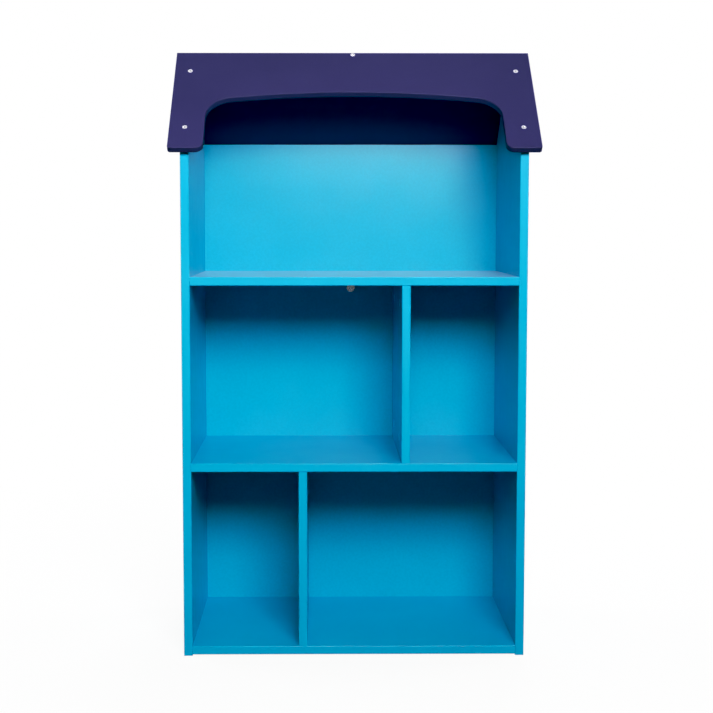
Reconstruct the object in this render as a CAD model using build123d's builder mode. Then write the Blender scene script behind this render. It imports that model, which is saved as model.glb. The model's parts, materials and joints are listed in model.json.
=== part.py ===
from build123d import *

import os
from math import atan2, cos, degrees, radians, sin, sqrt, tan

# A free-standing, house-shaped children's bookcase of painted boards.
#
# Millimetres. +X is the bookcase's right seen from the front, +Y runs from its open front to its back
# panel and +Z is up. The origin is on the floor, at the middle of the width and of the depth.

# ---------------------------------------------------------------- driving dimensions
body_width = 600  # outside of one side panel to the outside of the other
body_depth = 300  # front edges of the boards to the outside of the back panel
board = 15  # side panels, shelves and dividers
back_thickness = 3
foot_gap = 2  # the side panels carry the bottom board this far above the floor
cubby_height = 311  # clear height of each of the two lower rows
divider_offset = 90  # centre of each divider from the middle of the width
edge_round = 1.5  # the softened edges of every painted board

roof_board = 12
roof_side_overhang = 20
eave_projection = 20  # lower outer edge of each roof board past the body
ridge_height = 1072  # outer ridge edge above the floor
ridge_setback = 150  # outer ridge edge behind the boards' front edges
front_pitch = 47  # degrees below level; the rear slope makes a square ridge with it

roof_leg = 61  # width of the leg left at each side of the arch
crown_drop = 107.5  # ridge edge to the top of the arch, along the slope
crown_radius = 1580
shoulder_radius = 48
leg_inner_round = 14
leg_outer_round = 5

back_inset = 3  # back panel's edges inside the outside faces of the side panels
back_gap = 1  # left between the back panel's top and the rear roof board
cap_drop = 18  # centre of the capped hole below the top shelf

# ---------------------------------------------------------------- fittings
clearance = 0.1  # radial gap round every fitting in its hole
bolt_play = 0.2  # gap round a bolt's neck and head inside its cam
end_air = 1.0  # empty length left at the bottom of every blind hole

cam_diameter = 15
cam_floor = 2.5  # board left under the cam
cam_sink = 0.5  # cam's face below the board's face
cam_reach = 34  # board's end to the cam's axis
cam_front_setback = 74  # front cam's axis behind the boards' front edges
cam_rear_setback = 62  # rear cam's axis before the boards' rear edges
cam_slot_width = 1.4
cam_slot_length = 9
cam_slot_depth = 2

bolt_thread_diameter = 6
bolt_thread_length = 11
bolt_shank_diameter = 7
bolt_shank_length = 22
bolt_neck_diameter = 4
bolt_head_diameter = 6.6
bolt_head_length = 3.5
bolt_bore = 8

dowel_diameter = 8
dowel_length = 30
dowel_in_face = 10
dowel_chamfer = 1
dowel_offset = 32  # each dowel outside the cam next to it

screw_diameter = 4
screw_length = 35
screw_head_diameter = 8.4
screw_head_height = 2.4
screw_point = 5
screw_tip_diameter = 1
recess_width = 1.1
recess_length = 4.6
recess_depth = 1.6
roof_screw_end = 51  # screws from the ridge edge and from the lower edge, along the slope

nail_diameter = 1.6
nail_length = 16
nail_head_diameter = 4
nail_head_height = 0.8
side_nail_margin = 30
side_nail_count = 7
shelf_nail_spacing = 200
shelf_nail_count = 3

cap_flange_diameter = 17
cap_flange_height = 2
cap_stem_diameter = 12
cap_stem_wall = 1.5
cap_stem_length = 6
cap_round = 0.8

# ---------------------------------------------------------------- worked-out sizes
front_y = -body_depth / 2
back_outer_y = body_depth / 2
back_inner_y = back_outer_y - back_thickness
board_depth = back_inner_y - front_y
cam_height = board - cam_sink - cam_floor
cam_setbacks = (cam_front_setback, board_depth - cam_rear_setback)
dowel_setbacks = (cam_setbacks[0] - dowel_offset, cam_setbacks[1] + dowel_offset)
inner_half = body_width / 2 - board
inner_width = 2 * inner_half
side_centre = body_width / 2 - board / 2

bottom_z = foot_gap
middle_z = bottom_z + board + cubby_height
top_z = middle_z + board + cubby_height
cap_level = top_z - cap_drop

rear_pitch = 90 - front_pitch
ridge_y = front_y + ridge_setback
front_slope = (ridge_setback + eave_projection) / cos(radians(front_pitch))
rear_slope = (body_depth - ridge_setback + eave_projection) / cos(radians(rear_pitch))
roof_width = body_width + 2 * roof_side_overhang
roof_half = roof_width / 2
ridge = Vector(0, ridge_y, ridge_height)

# Each slope's plane lies in the roof board's outer face: local x along +X, local y up the front slope and
# down the rear slope.
front_plane = Plane(
    origin=ridge,
    x_dir=(1, 0, 0),
    z_dir=(0, -sin(radians(front_pitch)), cos(radians(front_pitch))),
)
rear_plane = Plane(
    origin=ridge,
    x_dir=(1, 0, 0),
    z_dir=(0, sin(radians(rear_pitch)), cos(radians(rear_pitch))),
)

front_screw_points = [
    (side * side_centre, -distance)
    for side in (-1, 1)
    for distance in (roof_screw_end, front_slope - roof_screw_end)
]
rear_screw_points = [
    (side * side_centre, distance)
    for side in (-1, 1)
    for distance in (roof_screw_end, rear_slope - roof_screw_end)
]
ridge_screw_points = [(0, -roof_board / 2)]

os.makedirs("parts", exist_ok=True)


def front_underside(y):
    """Height of the front roof board's underside at a depth."""
    fall = (ridge_y - y) * tan(radians(front_pitch))
    return ridge_height - fall - roof_board / cos(radians(front_pitch))


def rear_underside(y):
    """Height of the rear roof board's underside at a depth."""
    fall = (y - ridge_y) * tan(radians(rear_pitch))
    return ridge_height - fall - roof_board / cos(radians(rear_pitch))


# ---------------------------------------------------------------- tools used inside a BuildPart block
def drill(plane, points, diameter, depth):
    """Cut a flat-bottomed round hole at each point, against the plane's normal."""
    with BuildSketch(plane) as outline:
        with Locations(*points):
            Circle(diameter / 2)
    extrude(outline.sketch, amount=-depth, mode=Mode.SUBTRACT)


def rod(plane, points, diameter, start, end):
    """Add a round bar at each point, from one height above the plane to another."""
    with BuildSketch(plane.offset(start)) as outline:
        with Locations(*points):
            Circle(diameter / 2)
    extrude(outline.sketch, amount=end - start)


def cone(plane, points, start_diameter, end_diameter, start, end):
    """Add a taper at each point, from one height above the plane to a lower one."""
    for point in points:
        with BuildSketch(plane.offset(start)) as wide:
            with Locations(point):
                Circle(start_diameter / 2)
        with BuildSketch(plane.offset(end)) as narrow:
            with Locations(point):
                Circle(end_diameter / 2)
        loft([wide.sketch.face(), narrow.sketch.face()])


def cross(plane, points, width, length, depth):
    """Cut a cross-shaped driver recess at each point, against the plane's normal."""
    with BuildSketch(plane) as outline:
        with Locations(*points):
            Rectangle(width, length)
            Rectangle(length, width)
    extrude(outline.sketch, amount=-depth, mode=Mode.SUBTRACT)


def sink_screws(plane, points):
    """Cut the countersunk clearance holes that a roof board needs, from its outer face."""
    head = screw_head_diameter + 2 * clearance
    shank = screw_diameter + 2 * clearance
    drill(plane, points, shank, roof_board)
    for point in points:
        with BuildSketch(plane) as mouth:
            with Locations(point):
                Circle(head / 2)
        with BuildSketch(plane.offset(-screw_head_height)) as throat:
            with Locations(point):
                Circle(shank / 2)
        loft([mouth.sketch.face(), throat.sketch.face()], mode=Mode.SUBTRACT)


def pilot(plane, points):
    """Cut the blind holes that hold the roof screws below the roof board."""
    depth = screw_length - roof_board + end_air
    drill(plane.offset(-roof_board), points, screw_diameter + 2 * clearance, depth)


def wood_screws(plane, points):
    """Add countersunk screws whose heads are flush with the plane."""
    shank_end = screw_length - screw_point
    cone(plane, points, screw_head_diameter, screw_diameter, 0, -screw_head_height)
    rod(plane, points, screw_diameter, -shank_end, -screw_head_height)
    cone(plane, points, screw_diameter, screw_tip_diameter, -shank_end, -screw_length)
    cross(plane, points, recess_width, recess_length, recess_depth)


# ---------------------------------------------------------------- cam joints
# An end plane sits on a board's end, at mid thickness and at the front edges: local x runs back along the
# end and its normal points into the panel that the end meets. The side, 1 or -1, says which face of the
# board the cams are let into: the one that local +y or local -y points at.
def end_plane(x, z, normal):
    return Plane(origin=(x, front_y, z), x_dir=(0, 1, 0), z_dir=normal)


def cam_face(end, side):
    """The plane of the board's face that the cams are let into."""
    shift = end.y_dir * (side * board / 2)
    return Plane(origin=end.origin + shift, x_dir=end.x_dir, z_dir=end.y_dir * side)


def cam_points(side):
    return [(setback, side * cam_reach) for setback in cam_setbacks]


def on_axis(setbacks):
    return [(setback, 0) for setback in setbacks]


def machine_end(end, side):
    """Cut a board's end and face for its cams, bolts and dowels."""
    bore = cam_diameter + 2 * clearance
    drill(end, on_axis(cam_setbacks), bolt_bore, cam_reach)
    drill(cam_face(end, side), cam_points(side), bore, cam_sink + cam_height + clearance)
    depth = dowel_length - dowel_in_face + end_air
    drill(end, on_axis(dowel_setbacks), dowel_diameter + 2 * clearance, depth)


def machine_face(end):
    """Cut the face that a board's end meets, for the bolts' threads and the dowels."""
    face = Plane(origin=end.origin, x_dir=end.x_dir, z_dir=-end.z_dir)
    thread = bolt_thread_diameter + 2 * clearance
    drill(face, on_axis(cam_setbacks), thread, bolt_thread_length + end_air)
    drill(face, on_axis(dowel_setbacks), dowel_diameter + 2 * clearance, dowel_in_face + end_air)


def cam_locks(end, side):
    """Add the cams of one end, each cut to take its bolt's neck and head."""
    face = cam_face(end, side).offset(-cam_sink)
    rod(face, cam_points(side), cam_diameter, -cam_height, 0)
    cross(face, cam_points(side), cam_slot_width, cam_slot_length, cam_slot_depth)
    drill(end, on_axis(cam_setbacks), bolt_neck_diameter + 2 * bolt_play, cam_reach)
    pocket_half = bolt_head_length / 2 + bolt_play
    pocket = end.offset(pocket_half - cam_reach)
    drill(pocket, on_axis(cam_setbacks), bolt_head_diameter + 2 * bolt_play, 2 * pocket_half)


def cam_bolts(end):
    """Add the bolts of one end: thread in the other panel, shank and neck in the bore, head in the cam."""
    points = on_axis(cam_setbacks)
    head_front = bolt_head_length / 2 - cam_reach
    rod(end, points, bolt_thread_diameter, 0, bolt_thread_length)
    rod(end, points, bolt_shank_diameter, -bolt_shank_length, 0)
    rod(end, points, bolt_neck_diameter, head_front, -bolt_shank_length)
    rod(end, points, bolt_head_diameter, head_front - bolt_head_length, head_front)


def dowels(end):
    rod(end, on_axis(dowel_setbacks), dowel_diameter, dowel_in_face - dowel_length, dowel_in_face)


# Shelf ends: the cams are let into the underside, out of sight.
shelf_levels = {"bottom_board": bottom_z, "middle_shelf": middle_z, "top_shelf": top_z}
shelf_ends = {
    name: [
        (end_plane(-inner_half, level + board / 2, (-1, 0, 0)), 1),
        (end_plane(inner_half, level + board / 2, (1, 0, 0)), -1),
    ]
    for name, level in shelf_levels.items()
}

# Divider ends: the cams are let into the face that looks at the wider cubby. A divider stands on the shelf
# at its floor and meets the one above it.
dividers = {
    "divider_upper": {"x": divider_offset, "floor": middle_z + board, "cams_right": False},
    "divider_lower": {"x": -divider_offset, "floor": bottom_z + board, "cams_right": True},
}
divider_ends = {}
for name, place in dividers.items():
    low = end_plane(place["x"], place["floor"], (0, 0, -1))
    high = end_plane(place["x"], place["floor"] + cubby_height, (0, 0, 1))
    low_side = 1 if place["cams_right"] else -1
    divider_ends[name] = [(low, low_side), (high, -low_side)]

joined_ends = {**shelf_ends, **divider_ends}
ends_on_shelf = {
    "bottom_board": [divider_ends["divider_lower"][0][0]],
    "middle_shelf": [divider_ends["divider_lower"][1][0], divider_ends["divider_upper"][0][0]],
    "top_shelf": [divider_ends["divider_upper"][1][0]],
}

# ---------------------------------------------------------------- nails through the back panel
back_height = rear_underside(back_outer_y) - back_gap
back_plane = Plane(origin=(0, back_outer_y, 0), x_dir=(-1, 0, 0), z_dir=(0, 1, 0))
side_nail_top = back_height - side_nail_margin
side_nail_step = (side_nail_top - side_nail_margin) / (side_nail_count - 1)
side_nail_levels = [side_nail_margin + i * side_nail_step for i in range(side_nail_count)]
shelf_nail_xs = [
    (i - (shelf_nail_count - 1) / 2) * shelf_nail_spacing for i in range(shelf_nail_count)
]


def side_nails(x):
    return [(x, level) for level in side_nail_levels]


def shelf_nails(level):
    return [(x, level + board / 2) for x in shelf_nail_xs]


def nail_holes(points):
    drill(back_plane, points, nail_diameter + 2 * clearance, nail_length + end_air)


# ---------------------------------------------------------------- side panels
for name, side in (("side_panel_left", -1), ("side_panel_right", 1)):
    apex_y = ridge_y + roof_board * (sin(radians(front_pitch)) - sin(radians(rear_pitch)))
    with BuildPart() as side_panel:
        with BuildSketch(Plane.YZ.offset(side * side_centre)):
            with BuildLine():
                Polyline(
                    (front_y, 0),
                    (back_inner_y, 0),
                    (back_inner_y, rear_underside(back_inner_y)),
                    (apex_y, rear_underside(apex_y)),
                    (front_y, front_underside(front_y)),
                    close=True,
                )
            make_face()
        extrude(amount=board / 2, both=True)
        upright = side_panel.edges().filter_by(Axis.Z)
        fillet(upright.group_by(Axis.Y)[0], radius=edge_round)
        for ends in shelf_ends.values():
            for end, _ in ends:
                if end.origin.X * side > 0:
                    machine_face(end)
        pilot(front_plane, [p for p in front_screw_points if p[0] * side > 0])
        pilot(rear_plane, [p for p in rear_screw_points if p[0] * side > 0])
        nail_holes(side_nails(-side * side_centre))
    side_panel.part.label = name
    export_step(side_panel.part, f"parts/{name}.step")

# ---------------------------------------------------------------- bottom board and shelves
for name, level in shelf_levels.items():
    with BuildPart() as shelf:
        with BuildSketch(Plane.XY.offset(level)):
            with Locations((0, front_y + board_depth / 2)):
                Rectangle(inner_width, board_depth)
        extrude(amount=board)
        lengthwise = shelf.edges().filter_by(Axis.X)
        fillet(lengthwise.group_by(Axis.Y)[0], radius=edge_round)
        for end, side in shelf_ends[name]:
            machine_end(end, side)
        for end in ends_on_shelf[name]:
            machine_face(end)
        nail_holes(shelf_nails(level))
    shelf.part.label = name
    export_step(shelf.part, f"parts/{name}.step")

# ---------------------------------------------------------------- dividers
for name, place in dividers.items():
    with BuildPart() as divider:
        with BuildSketch(Plane.XY.offset(place["floor"])):
            with Locations((place["x"], front_y + board_depth / 2)):
                Rectangle(board, board_depth)
        extrude(amount=cubby_height)
        upright = divider.edges().filter_by(Axis.Z)
        fillet(upright.group_by(Axis.Y)[0], radius=edge_round)
        for end, side in divider_ends[name]:
            machine_end(end, side)
    divider.part.label = name
    export_step(divider.part, f"parts/{name}.step")

# ---------------------------------------------------------------- back panel and its hole cap
with BuildPart() as back_panel:
    with BuildSketch(back_plane):
        with Locations((0, (foot_gap + back_height) / 2)):
            Rectangle(body_width - 2 * back_inset, back_height - foot_gap)
    extrude(amount=-back_thickness)
    for side in (-1, 1):
        nail_holes(side_nails(side * side_centre))
    for level in shelf_levels.values():
        nail_holes(shelf_nails(level))
    drill(back_plane, [(0, cap_level)], cap_stem_diameter + 2 * clearance, back_thickness)
back_panel.part.label = "back_panel"
export_step(back_panel.part, "parts/back_panel.step")

cap_plane = Plane(origin=(0, back_inner_y, cap_level), x_dir=(1, 0, 0), z_dir=(0, -1, 0))
with BuildPart() as back_hole_cap:
    rod(cap_plane, [(0, 0)], cap_flange_diameter, 0, cap_flange_height)
    fillet(back_hole_cap.edges().sort_by(Axis.Y)[0], radius=cap_round)
    rod(cap_plane, [(0, 0)], cap_stem_diameter, -cap_stem_length, 0)
    stem_end = Plane(origin=cap_plane.offset(-cap_stem_length).origin, x_dir=(-1, 0, 0), z_dir=(0, 1, 0))
    drill(stem_end, [(0, 0)], cap_stem_diameter - 2 * cap_stem_wall, cap_stem_length)
back_hole_cap.part.label = "back_hole_cap"
export_step(back_hole_cap.part, "parts/back_hole_cap.step")

# ---------------------------------------------------------------- roof boards
leg_inner = roof_half - roof_leg
shoulder_x = leg_inner - shoulder_radius
crown_centre_y = -crown_drop - crown_radius
shoulder_y = crown_centre_y + sqrt((crown_radius - shoulder_radius) ** 2 - shoulder_x**2)
shoulder_angle = degrees(atan2(shoulder_y - crown_centre_y, -shoulder_x))

with BuildPart() as roof_front_board:
    with BuildSketch(front_plane):
        with Locations((0, -front_slope / 2)):
            Rectangle(roof_width, front_slope)
        with BuildLine():
            Line((0, -front_slope - roof_leg), (-leg_inner, -front_slope - roof_leg))
            Line((-leg_inner, -front_slope - roof_leg), (-leg_inner, shoulder_y))
            CenterArc((-shoulder_x, shoulder_y), shoulder_radius, 180, shoulder_angle - 180)
            CenterArc((0, crown_centre_y), crown_radius, shoulder_angle, 90 - shoulder_angle)
            mirror(about=Plane.YZ)
        make_face(mode=Mode.SUBTRACT)
        leg_corners = vertices().group_by(Axis.Y)[0].sort_by(Axis.X)
        fillet([leg_corners[0], leg_corners[3]], radius=leg_outer_round)
        fillet(vertices().group_by(Axis.Y)[0].sort_by(Axis.X)[1:3], radius=leg_inner_round)
    extrude(amount=-roof_board)
    across = roof_front_board.faces().sort_by(Axis(ridge, front_plane.z_dir))
    fillet(across[-1].edges() + across[0].edges(), radius=edge_round)
    sink_screws(front_plane, front_screw_points + ridge_screw_points)
roof_front_board.part.label = "roof_front_board"
export_step(roof_front_board.part, "parts/roof_front_board.step")

with BuildPart() as roof_rear_board:
    with BuildSketch(rear_plane):
        with Locations((0, (roof_board + rear_slope) / 2)):
            Rectangle(roof_width, rear_slope - roof_board)
        eave_corners = vertices().group_by(Axis.Y)[-1]
        fillet(eave_corners, radius=leg_outer_round)
    extrude(amount=-roof_board)
    across = roof_rear_board.faces().sort_by(Axis(ridge, rear_plane.z_dir))
    fillet(across[-1].edges() + across[0].edges(), radius=edge_round)
    sink_screws(rear_plane, rear_screw_points)
    pilot(front_plane, ridge_screw_points)
roof_rear_board.part.label = "roof_rear_board"
export_step(roof_rear_board.part, "parts/roof_rear_board.step")

# ---------------------------------------------------------------- roof screws
roof_screws = {
    "roof_front_screws": (front_plane, front_screw_points),
    "roof_rear_screws": (rear_plane, rear_screw_points),
    "ridge_screw": (front_plane, ridge_screw_points),
}
for name, (plane, points) in roof_screws.items():
    with BuildPart() as screws:
        wood_screws(plane, points)
    screws.part.label = name
    export_step(screws.part, f"parts/{name}.step")

# ---------------------------------------------------------------- cams, bolts and dowels of each board
for board_name, ends in joined_ends.items():
    with BuildPart() as cams:
        for end, side in ends:
            cam_locks(end, side)
    cams.part.label = f"cam_locks_{board_name}"
    export_step(cams.part, f"parts/cam_locks_{board_name}.step")

    with BuildPart() as bolts:
        for end, _ in ends:
            cam_bolts(end)
    bolts.part.label = f"cam_bolts_{board_name}"
    export_step(bolts.part, f"parts/cam_bolts_{board_name}.step")

    with BuildPart() as pegs:
        for end, _ in ends:
            dowels(end)
        chamfer(pegs.edges().filter_by(GeomType.CIRCLE), length=dowel_chamfer)
    pegs.part.label = f"dowels_{board_name}"
    export_step(pegs.part, f"parts/dowels_{board_name}.step")

# ---------------------------------------------------------------- back panel nails
nail_points = side_nails(-side_centre) + side_nails(side_centre)
for level in shelf_levels.values():
    nail_points += shelf_nails(level)
with BuildPart() as back_panel_nails:
    rod(back_plane, nail_points, nail_diameter, -nail_length, 0)
    rod(back_plane, nail_points, nail_head_diameter, 0, nail_head_height)
back_panel_nails.part.label = "back_panel_nails"
export_step(back_panel_nails.part, "parts/back_panel_nails.step")
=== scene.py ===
import json
import math

import bpy
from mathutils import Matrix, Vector


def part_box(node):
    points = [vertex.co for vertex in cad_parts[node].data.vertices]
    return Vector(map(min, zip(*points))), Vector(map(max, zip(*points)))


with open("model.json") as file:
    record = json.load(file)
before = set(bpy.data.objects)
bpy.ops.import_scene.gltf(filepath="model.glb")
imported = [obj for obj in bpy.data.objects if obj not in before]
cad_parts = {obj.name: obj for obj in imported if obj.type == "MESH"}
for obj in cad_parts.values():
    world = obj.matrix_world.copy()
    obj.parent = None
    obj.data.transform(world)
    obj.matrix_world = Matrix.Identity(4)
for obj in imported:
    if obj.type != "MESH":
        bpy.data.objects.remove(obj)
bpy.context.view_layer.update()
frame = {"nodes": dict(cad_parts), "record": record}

nodes = frame["nodes"]
scene = bpy.context.scene

front_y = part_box("side_panel_left")[0].y

# ---------------------------------------------------------------- colours, linear RGB
black = (0, 0, 0)
white = (1, 1, 1)
blue_paint = (0.022, 0.45, 0.685)
blue_deep = (0.018, 0.43, 0.665)
back_paint = (0.022, 0.45, 0.64)
back_deep = (0.018, 0.435, 0.622)
purple_paint = (0.0435, 0.0325, 0.116)
purple_deep = (0.0405, 0.030, 0.110)
zinc = (0.86, 0.85, 0.90)
cast_zinc = (0.60, 0.60, 0.62)
bolt_zinc = (0.66, 0.62, 0.50)
nail_steel = (0.52, 0.52, 0.54)
beech_light = (0.60, 0.40, 0.22)
beech_dark = (0.46, 0.28, 0.14)
satin_nickel = (0.80, 0.74, 0.78)
floor_pale = (0.86, 0.86, 0.865)

# ---------------------------------------------------------------- paint, scales per metre
paint_ior = 1.45
cloud_scale = 7.0  # slow changes of shade
fibre_scale = 230.0  # fine mottle and grit
patch_scale = 38.0  # changes of gloss
wave_scale = 55.0  # orange peel
cloud_range = (0.35, 0.65)  # noise values between which the shade changes
fibre_range = (0.38, 0.62)
gloss_range = (0.3, 0.7)  # noise values between which the roughness changes
plain_mottle = 0.02  # how far the fine mottle darkens most paints
back_mottle = 0.06  # and the back panel's
shelf_dust = 0.13  # sheen of dust on the top shelf
grit_share = 2.0  # height of the grit against that of the orange peel
board_peel = 0.000006  # height of the orange peel in metres
back_peel = 0.000010
purple_peel = 0.000012
shelf_peel = 0.000004
board_rough = (0.18, 0.22)
back_rough = (0.22, 0.25)
purple_rough = (0.44, 0.50)
board_shine = 0.17
back_shine = 0.39
purple_shine = 0.18

# ---------------------------------------------------------------- metal and beech
speckle_scale = 900.0
speckle_height = 0.00003
dull_share = 0.82  # the darker speckles' part of the metal's colour
grain_scale = 140.0
grain_stretch = (1, 9, 9)  # the grain runs along x
grain_height = 0.0001
beech_roughness = 0.7

# ---------------------------------------------------------------- floor and fill light
room_fill = 0.024
floor_reach = 14.0
floor_roughness = 0.8
floor_shine = 0.1
floor_return = 0.08  # how much light the floor throws back at the bookcase
floor_glow_near = 0.92  # share of plain white in the floor under the bookcase
glow_start = 0.4  # distance at which that share begins to rise
glow_full = 1.6  # distance from which the floor is plain white

# ---------------------------------------------------------------- main light
key_power = 22.7
key_x = 0.29
key_y = front_y - 2.05
key_width = 1.02
key_aim = (-0.30, front_y, 0.90)
upper_share = 0.18  # power of the strip above the key, as a part of the key's
wings_share = 0.26  # and in the wide box across the front
key_spread = math.radians(120)

# ---------------------------------------------------------------- lights at the sides
side_x = 2.3
side_power = 30.0

# ---------------------------------------------------------------- camera
sensor_width = 36.0
lens = 63.44
shift_x = 0.0351
shift_y = -0.05
camera_x = -0.0561
camera_distance = 2.1706  # from the bookcase's front edges
camera_z = 0.7559
pitch = 0.0749  # downward
yaw = 0.0075  # to the right

# ---------------------------------------------------------------- grade
black_level = (0.020, 0.009, 0.014)
blue_curve = 2  # index of the blue channel's curve
blue_lift = ((0.08, 0.074), (0.18, 0.205), (0.30, 0.365), (0.48, 0.545), (0.72, 0.725))


# ---------------------------------------------------------------- node helpers
def new_material(name):
    """A material whose tree holds a Principled shader linked to an output."""
    material = bpy.data.materials.new(name)
    material.use_nodes = True
    tree = material.node_tree
    tree.nodes.clear()
    shader = tree.nodes.new("ShaderNodeBsdfPrincipled")
    output = tree.nodes.new("ShaderNodeOutputMaterial")
    tree.links.new(shader.outputs["BSDF"], output.inputs["Surface"])
    return material, tree, shader


def object_coordinates(tree, stretch=(1, 1, 1)):
    """Object coordinates in metres, multiplied along each axis."""
    coordinates = tree.nodes.new("ShaderNodeTexCoord")
    mapping = tree.nodes.new("ShaderNodeMapping")
    mapping.inputs["Scale"].default_value = stretch
    tree.links.new(coordinates.outputs["Object"], mapping.inputs["Vector"])
    return mapping.outputs["Vector"]


def noise(tree, vector, scale, detail, roughness=0.5):
    """A noise value around 0.5."""
    texture = tree.nodes.new("ShaderNodeTexNoise")
    texture.inputs["Scale"].default_value = scale
    texture.inputs["Detail"].default_value = detail
    texture.inputs["Roughness"].default_value = roughness
    tree.links.new(vector, texture.inputs["Vector"])
    return texture.outputs["Fac"]


def blend_colours(tree, factor, first, second):
    """Blend from the first colour to the second."""
    mix = tree.nodes.new("ShaderNodeMix")
    mix.data_type = "RGBA"
    mix.inputs["A"].default_value = (*first, 1)
    mix.inputs["B"].default_value = (*second, 1)
    tree.links.new(factor, mix.inputs["Factor"])
    return mix.outputs["Result"]


def darken(tree, amount, shade):
    """Blend a shade towards black."""
    mix = tree.nodes.new("ShaderNodeMix")
    mix.data_type = "RGBA"
    mix.inputs["B"].default_value = (*black, 1)
    tree.links.new(amount, mix.inputs["Factor"])
    tree.links.new(shade, mix.inputs["A"])
    return mix.outputs["Result"]


def spread(tree, value, source, result):
    """Map a source range of values onto a result range, both as (low, high)."""
    node = tree.nodes.new("ShaderNodeMapRange")
    node.inputs["From Min"].default_value = source[0]
    node.inputs["From Max"].default_value = source[1]
    node.inputs["To Min"].default_value = result[0]
    node.inputs["To Max"].default_value = result[1]
    tree.links.new(value, node.inputs["Value"])
    return node.outputs["Result"]


def bump(tree, height, distance, normal=None):
    """A bumped normal, laid over another where one is given."""
    node = tree.nodes.new("ShaderNodeBump")
    node.inputs["Distance"].default_value = distance
    node.inputs["Strength"].default_value = 1.0
    tree.links.new(height, node.inputs["Height"])
    if normal is not None:
        tree.links.new(normal, node.inputs["Normal"])
    return node.outputs["Normal"]


# ---------------------------------------------------------------- materials
def paint(name, colour, deep, rough, peel, shine, dust=0.0, mottle=plain_mottle):
    """Sprayed paint: slow changes of shade, fine mottle, orange peel, grit and a sheen of dust.

    The roughness changes in patches between the two values of rough.
    """
    material, tree, shader = new_material(name)
    place = object_coordinates(tree)
    clouds = noise(tree, place, cloud_scale, detail=3.0)
    shade = blend_colours(tree, spread(tree, clouds, cloud_range, (0, 1)), colour, deep)
    fibres = noise(tree, place, fibre_scale, detail=2.0)
    mottled = darken(tree, spread(tree, fibres, fibre_range, (0, mottle)), shade)
    tree.links.new(mottled, shader.inputs["Base Color"])
    patches = noise(tree, place, patch_scale, detail=4.0)
    tree.links.new(spread(tree, patches, gloss_range, rough), shader.inputs["Roughness"])
    waves = bump(tree, noise(tree, place, wave_scale, detail=1.0), peel)
    grit = bump(tree, fibres, peel * grit_share, normal=waves)
    tree.links.new(grit, shader.inputs["Normal"])
    shader.inputs["IOR"].default_value = paint_ior
    shader.inputs["Specular IOR Level"].default_value = shine
    shader.inputs["Sheen Weight"].default_value = dust
    return material


def metal(name, colour, rough):
    """Plated or cast metal with fine speckles of uneven colour and gloss."""
    material, tree, shader = new_material(name)
    place = object_coordinates(tree)
    speckle = noise(tree, place, speckle_scale, detail=3.0)
    dull = tuple(dull_share * c for c in colour)
    tree.links.new(blend_colours(tree, speckle, dull, colour), shader.inputs["Base Color"])
    tree.links.new(spread(tree, speckle, gloss_range, rough), shader.inputs["Roughness"])
    tree.links.new(bump(tree, speckle, speckle_height), shader.inputs["Normal"])
    shader.inputs["Metallic"].default_value = 1.0
    return material


def beech(name):
    """Bare beech with fine grain."""
    material, tree, shader = new_material(name)
    place = object_coordinates(tree, grain_stretch)
    grain = noise(tree, place, grain_scale, detail=5.0, roughness=0.6)
    tree.links.new(blend_colours(tree, grain, beech_dark, beech_light), shader.inputs["Base Color"])
    tree.links.new(bump(tree, grain, grain_height), shader.inputs["Normal"])
    shader.inputs["Roughness"].default_value = beech_roughness
    return material


slot_materials = {
    "blue_board": paint(
        "blue_board_paint", blue_paint, blue_deep, board_rough, board_peel, board_shine
    ),
    "blue_back": paint(
        "blue_back_paint", back_paint, back_deep, back_rough, back_peel, back_shine,
        mottle=back_mottle,
    ),
    "purple_board": paint(
        "purple_board_paint", purple_paint, purple_deep, purple_rough, purple_peel, purple_shine
    ),
    "zinc_screw": metal("bright_zinc", zinc, rough=(0.16, 0.28)),
    "nail_steel": metal("nail_wire", nail_steel, rough=(0.3, 0.5)),
    "cam_zinc": metal("die_cast_zinc", cast_zinc, rough=(0.32, 0.48)),
    "bolt_steel": metal("yellow_zinc", bolt_zinc, rough=(0.25, 0.4)),
    "beech": beech("bare_beech"),
    "satin_nickel": metal("satin_nickel_plate", satin_nickel, rough=(0.20, 0.30)),
}
shelf_material = paint(
    "blue_shelf_paint", blue_paint, blue_deep, board_rough, shelf_peel, board_shine,
    dust=shelf_dust,
)


def dress_nodes():
    """Give every CAD node the material of its slot, and the top shelf a dustier paint."""
    for entry in frame["record"]["subparts"]:
        node = nodes[entry["node"]]
        dusty = entry["node"] == "top_shelf"
        node.data.materials.clear()
        node.data.materials.append(shelf_material if dusty else slot_materials[entry["material_slot"]])


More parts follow.
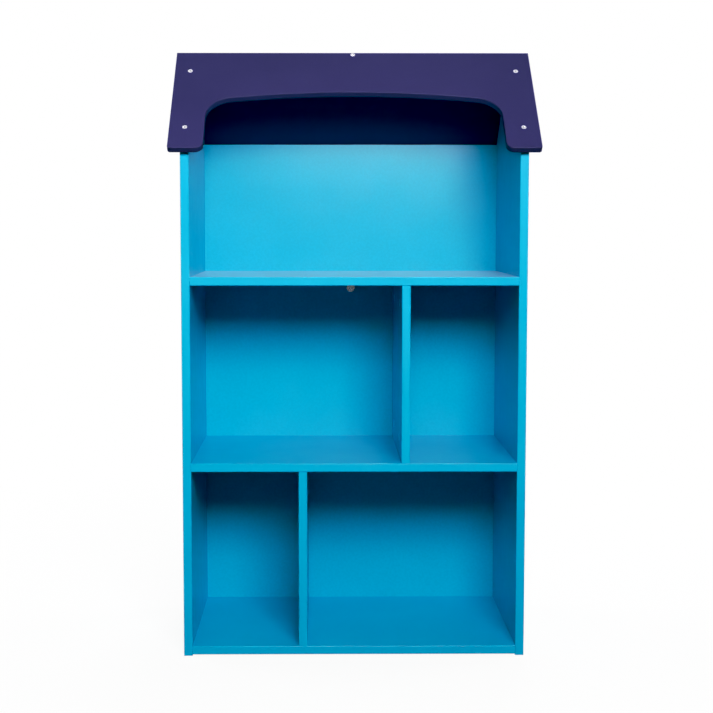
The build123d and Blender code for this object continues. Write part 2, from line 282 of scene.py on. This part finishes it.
# ---------------------------------------------------------------- stage
def floor():
    """A pale floor. Away from the bookcase it turns plain white, and it throws little light back up."""
    mesh = bpy.data.meshes.new("floor")
    corners = [
        (-floor_reach, -floor_reach, 0), (floor_reach, -floor_reach, 0),
        (floor_reach, floor_reach, 0), (-floor_reach, floor_reach, 0),
    ]
    mesh.from_pydata(corners, [], [(0, 1, 2, 3)])
    ground = bpy.data.objects.new("floor", mesh)
    scene.collection.objects.link(ground)
    material, tree, shader = new_material("floor_pale")
    shader.inputs["Base Color"].default_value = (*floor_pale, 1)
    shader.inputs["Roughness"].default_value = floor_roughness
    shader.inputs["Specular IOR Level"].default_value = floor_shine
    glow = tree.nodes.new("ShaderNodeEmission")
    glow.inputs["Strength"].default_value = 1.0
    coordinates = tree.nodes.new("ShaderNodeTexCoord")
    distance = tree.nodes.new("ShaderNodeVectorMath")
    distance.operation = "LENGTH"
    tree.links.new(coordinates.outputs["Object"], distance.inputs[0])
    fade = spread(tree, distance.outputs["Value"], (glow_start, glow_full), (floor_glow_near, 1.0))
    pale = tree.nodes.new("ShaderNodeMixShader")
    tree.links.new(fade, pale.inputs["Fac"])
    tree.links.new(shader.outputs["BSDF"], pale.inputs[1])
    tree.links.new(glow.outputs["Emission"], pale.inputs[2])
    dark = tree.nodes.new("ShaderNodeBsdfDiffuse")
    dark.inputs["Color"].default_value = (floor_return, floor_return, floor_return, 1)
    seen = tree.nodes.new("ShaderNodeLightPath")
    mix = tree.nodes.new("ShaderNodeMixShader")
    tree.links.new(seen.outputs["Is Camera Ray"], mix.inputs["Fac"])
    tree.links.new(dark.outputs["BSDF"], mix.inputs[1])
    tree.links.new(pale.outputs["Shader"], mix.inputs[2])
    output = next(n for n in tree.nodes if n.type == "OUTPUT_MATERIAL")
    tree.links.new(mix.outputs["Shader"], output.inputs["Surface"])
    mesh.materials.append(material)


def surroundings():
    """White for the camera, and a much dimmer white as fill light."""
    world = bpy.data.worlds.new("studio")
    scene.world = world
    world.use_nodes = True
    tree = world.node_tree
    tree.nodes.clear()
    seen = tree.nodes.new("ShaderNodeLightPath")
    fill = tree.nodes.new("ShaderNodeBackground")
    fill.inputs["Color"].default_value = (*white, 1)
    fill.inputs["Strength"].default_value = room_fill
    backdrop = tree.nodes.new("ShaderNodeBackground")
    backdrop.inputs["Color"].default_value = (*white, 1)
    backdrop.inputs["Strength"].default_value = 1.0
    mix = tree.nodes.new("ShaderNodeMixShader")
    output = tree.nodes.new("ShaderNodeOutputWorld")
    tree.links.new(seen.outputs["Is Camera Ray"], mix.inputs["Fac"])
    tree.links.new(fill.outputs["Background"], mix.inputs[1])
    tree.links.new(backdrop.outputs["Background"], mix.inputs[2])
    tree.links.new(mix.outputs["Shader"], output.inputs["Surface"])


def soft_box(name, place, target, width, height, power):
    """A rectangular soft light aimed at a point, sizes in metres and power in watts."""
    data = bpy.data.lights.new(name, "AREA")
    data.shape = "RECTANGLE"
    data.size, data.size_y = width, height
    data.energy = power
    lamp = bpy.data.objects.new(name, data)
    lamp.location = place
    lamp.rotation_mode = "QUATERNION"
    lamp.rotation_quaternion = (Vector(target) - Vector(place)).to_track_quat("-Z", "Y")
    scene.collection.objects.link(lamp)
    return lamp


def lights():
    """A narrowed main light of three boxes in front, with weaker boxes round the bookcase."""
    main = soft_box(
        "key", place=(key_x, key_y, 1.545), target=key_aim,
        width=key_width, height=0.70, power=key_power,
    )
    upper = soft_box(
        "key_upper", place=(key_x, key_y, 2.07), target=key_aim,
        width=key_width, height=0.35, power=upper_share * key_power,
    )
    wings = soft_box(
        "key_wings", place=(0, key_y, 1.60), target=(0, front_y, 0.90),
        width=2.8, height=0.5, power=wings_share * key_power,
    )
    for lamp in (main, upper, wings):
        lamp.data.spread = key_spread
    soft_box(
        "overhead", place=(0, -0.02, 2.7), target=(0, -0.02, 0),
        width=1.4, height=0.40, power=2.7,
    )
    soft_box(
        "left_strip", place=(-1.5, front_y - 1.5, 1.60), target=(0.1, front_y, 0.60),
        width=0.35, height=0.6, power=1.5,
    )
    # Seen in the nickel cap under the top shelf.
    soft_box(
        "card", place=(0.03, front_y - 2.3, 0.42), target=(0, 0, 0.60),
        width=0.45, height=0.35, power=0.20,
    )
    for name, x in (("side_left", -side_x), ("side_right", side_x)):
        soft_box(
            name, place=(x, 0.75, 1.1), target=(0, 0.1, 0.55),
            width=1.3, height=1.6, power=side_power,
        )
    soft_box(
        "rear", place=(0.5, 2.6, 1.6), target=(0, 0.15, 0.55),
        width=1.5, height=1.5, power=50.0,
    )


def camera():
    """The camera stands in front, a little left of the middle, and looks slightly down and right."""
    data = bpy.data.cameras.new("camera")
    data.sensor_width = sensor_width
    data.lens = lens
    data.shift_x = shift_x
    data.shift_y = shift_y
    view = bpy.data.objects.new("camera", data)
    view.location = (camera_x, front_y - camera_distance, camera_z)
    view.rotation_euler = (math.pi / 2 - pitch, 0, -yaw)
    scene.collection.objects.link(view)
    scene.camera = view


def grade():
    """Standard sRGB output with deepened blacks, most of all in red, and lifted middle blues."""
    settings = scene.view_settings
    settings.view_transform = "Standard"
    settings.use_curve_mapping = True
    settings.curve_mapping.black_level = black_level
    for level, raised in blue_lift:
        settings.curve_mapping.curves[blue_curve].points.new(level, raised)
    settings.curve_mapping.update()


dress_nodes()
floor()
surroundings()
lights()
camera()
grade()
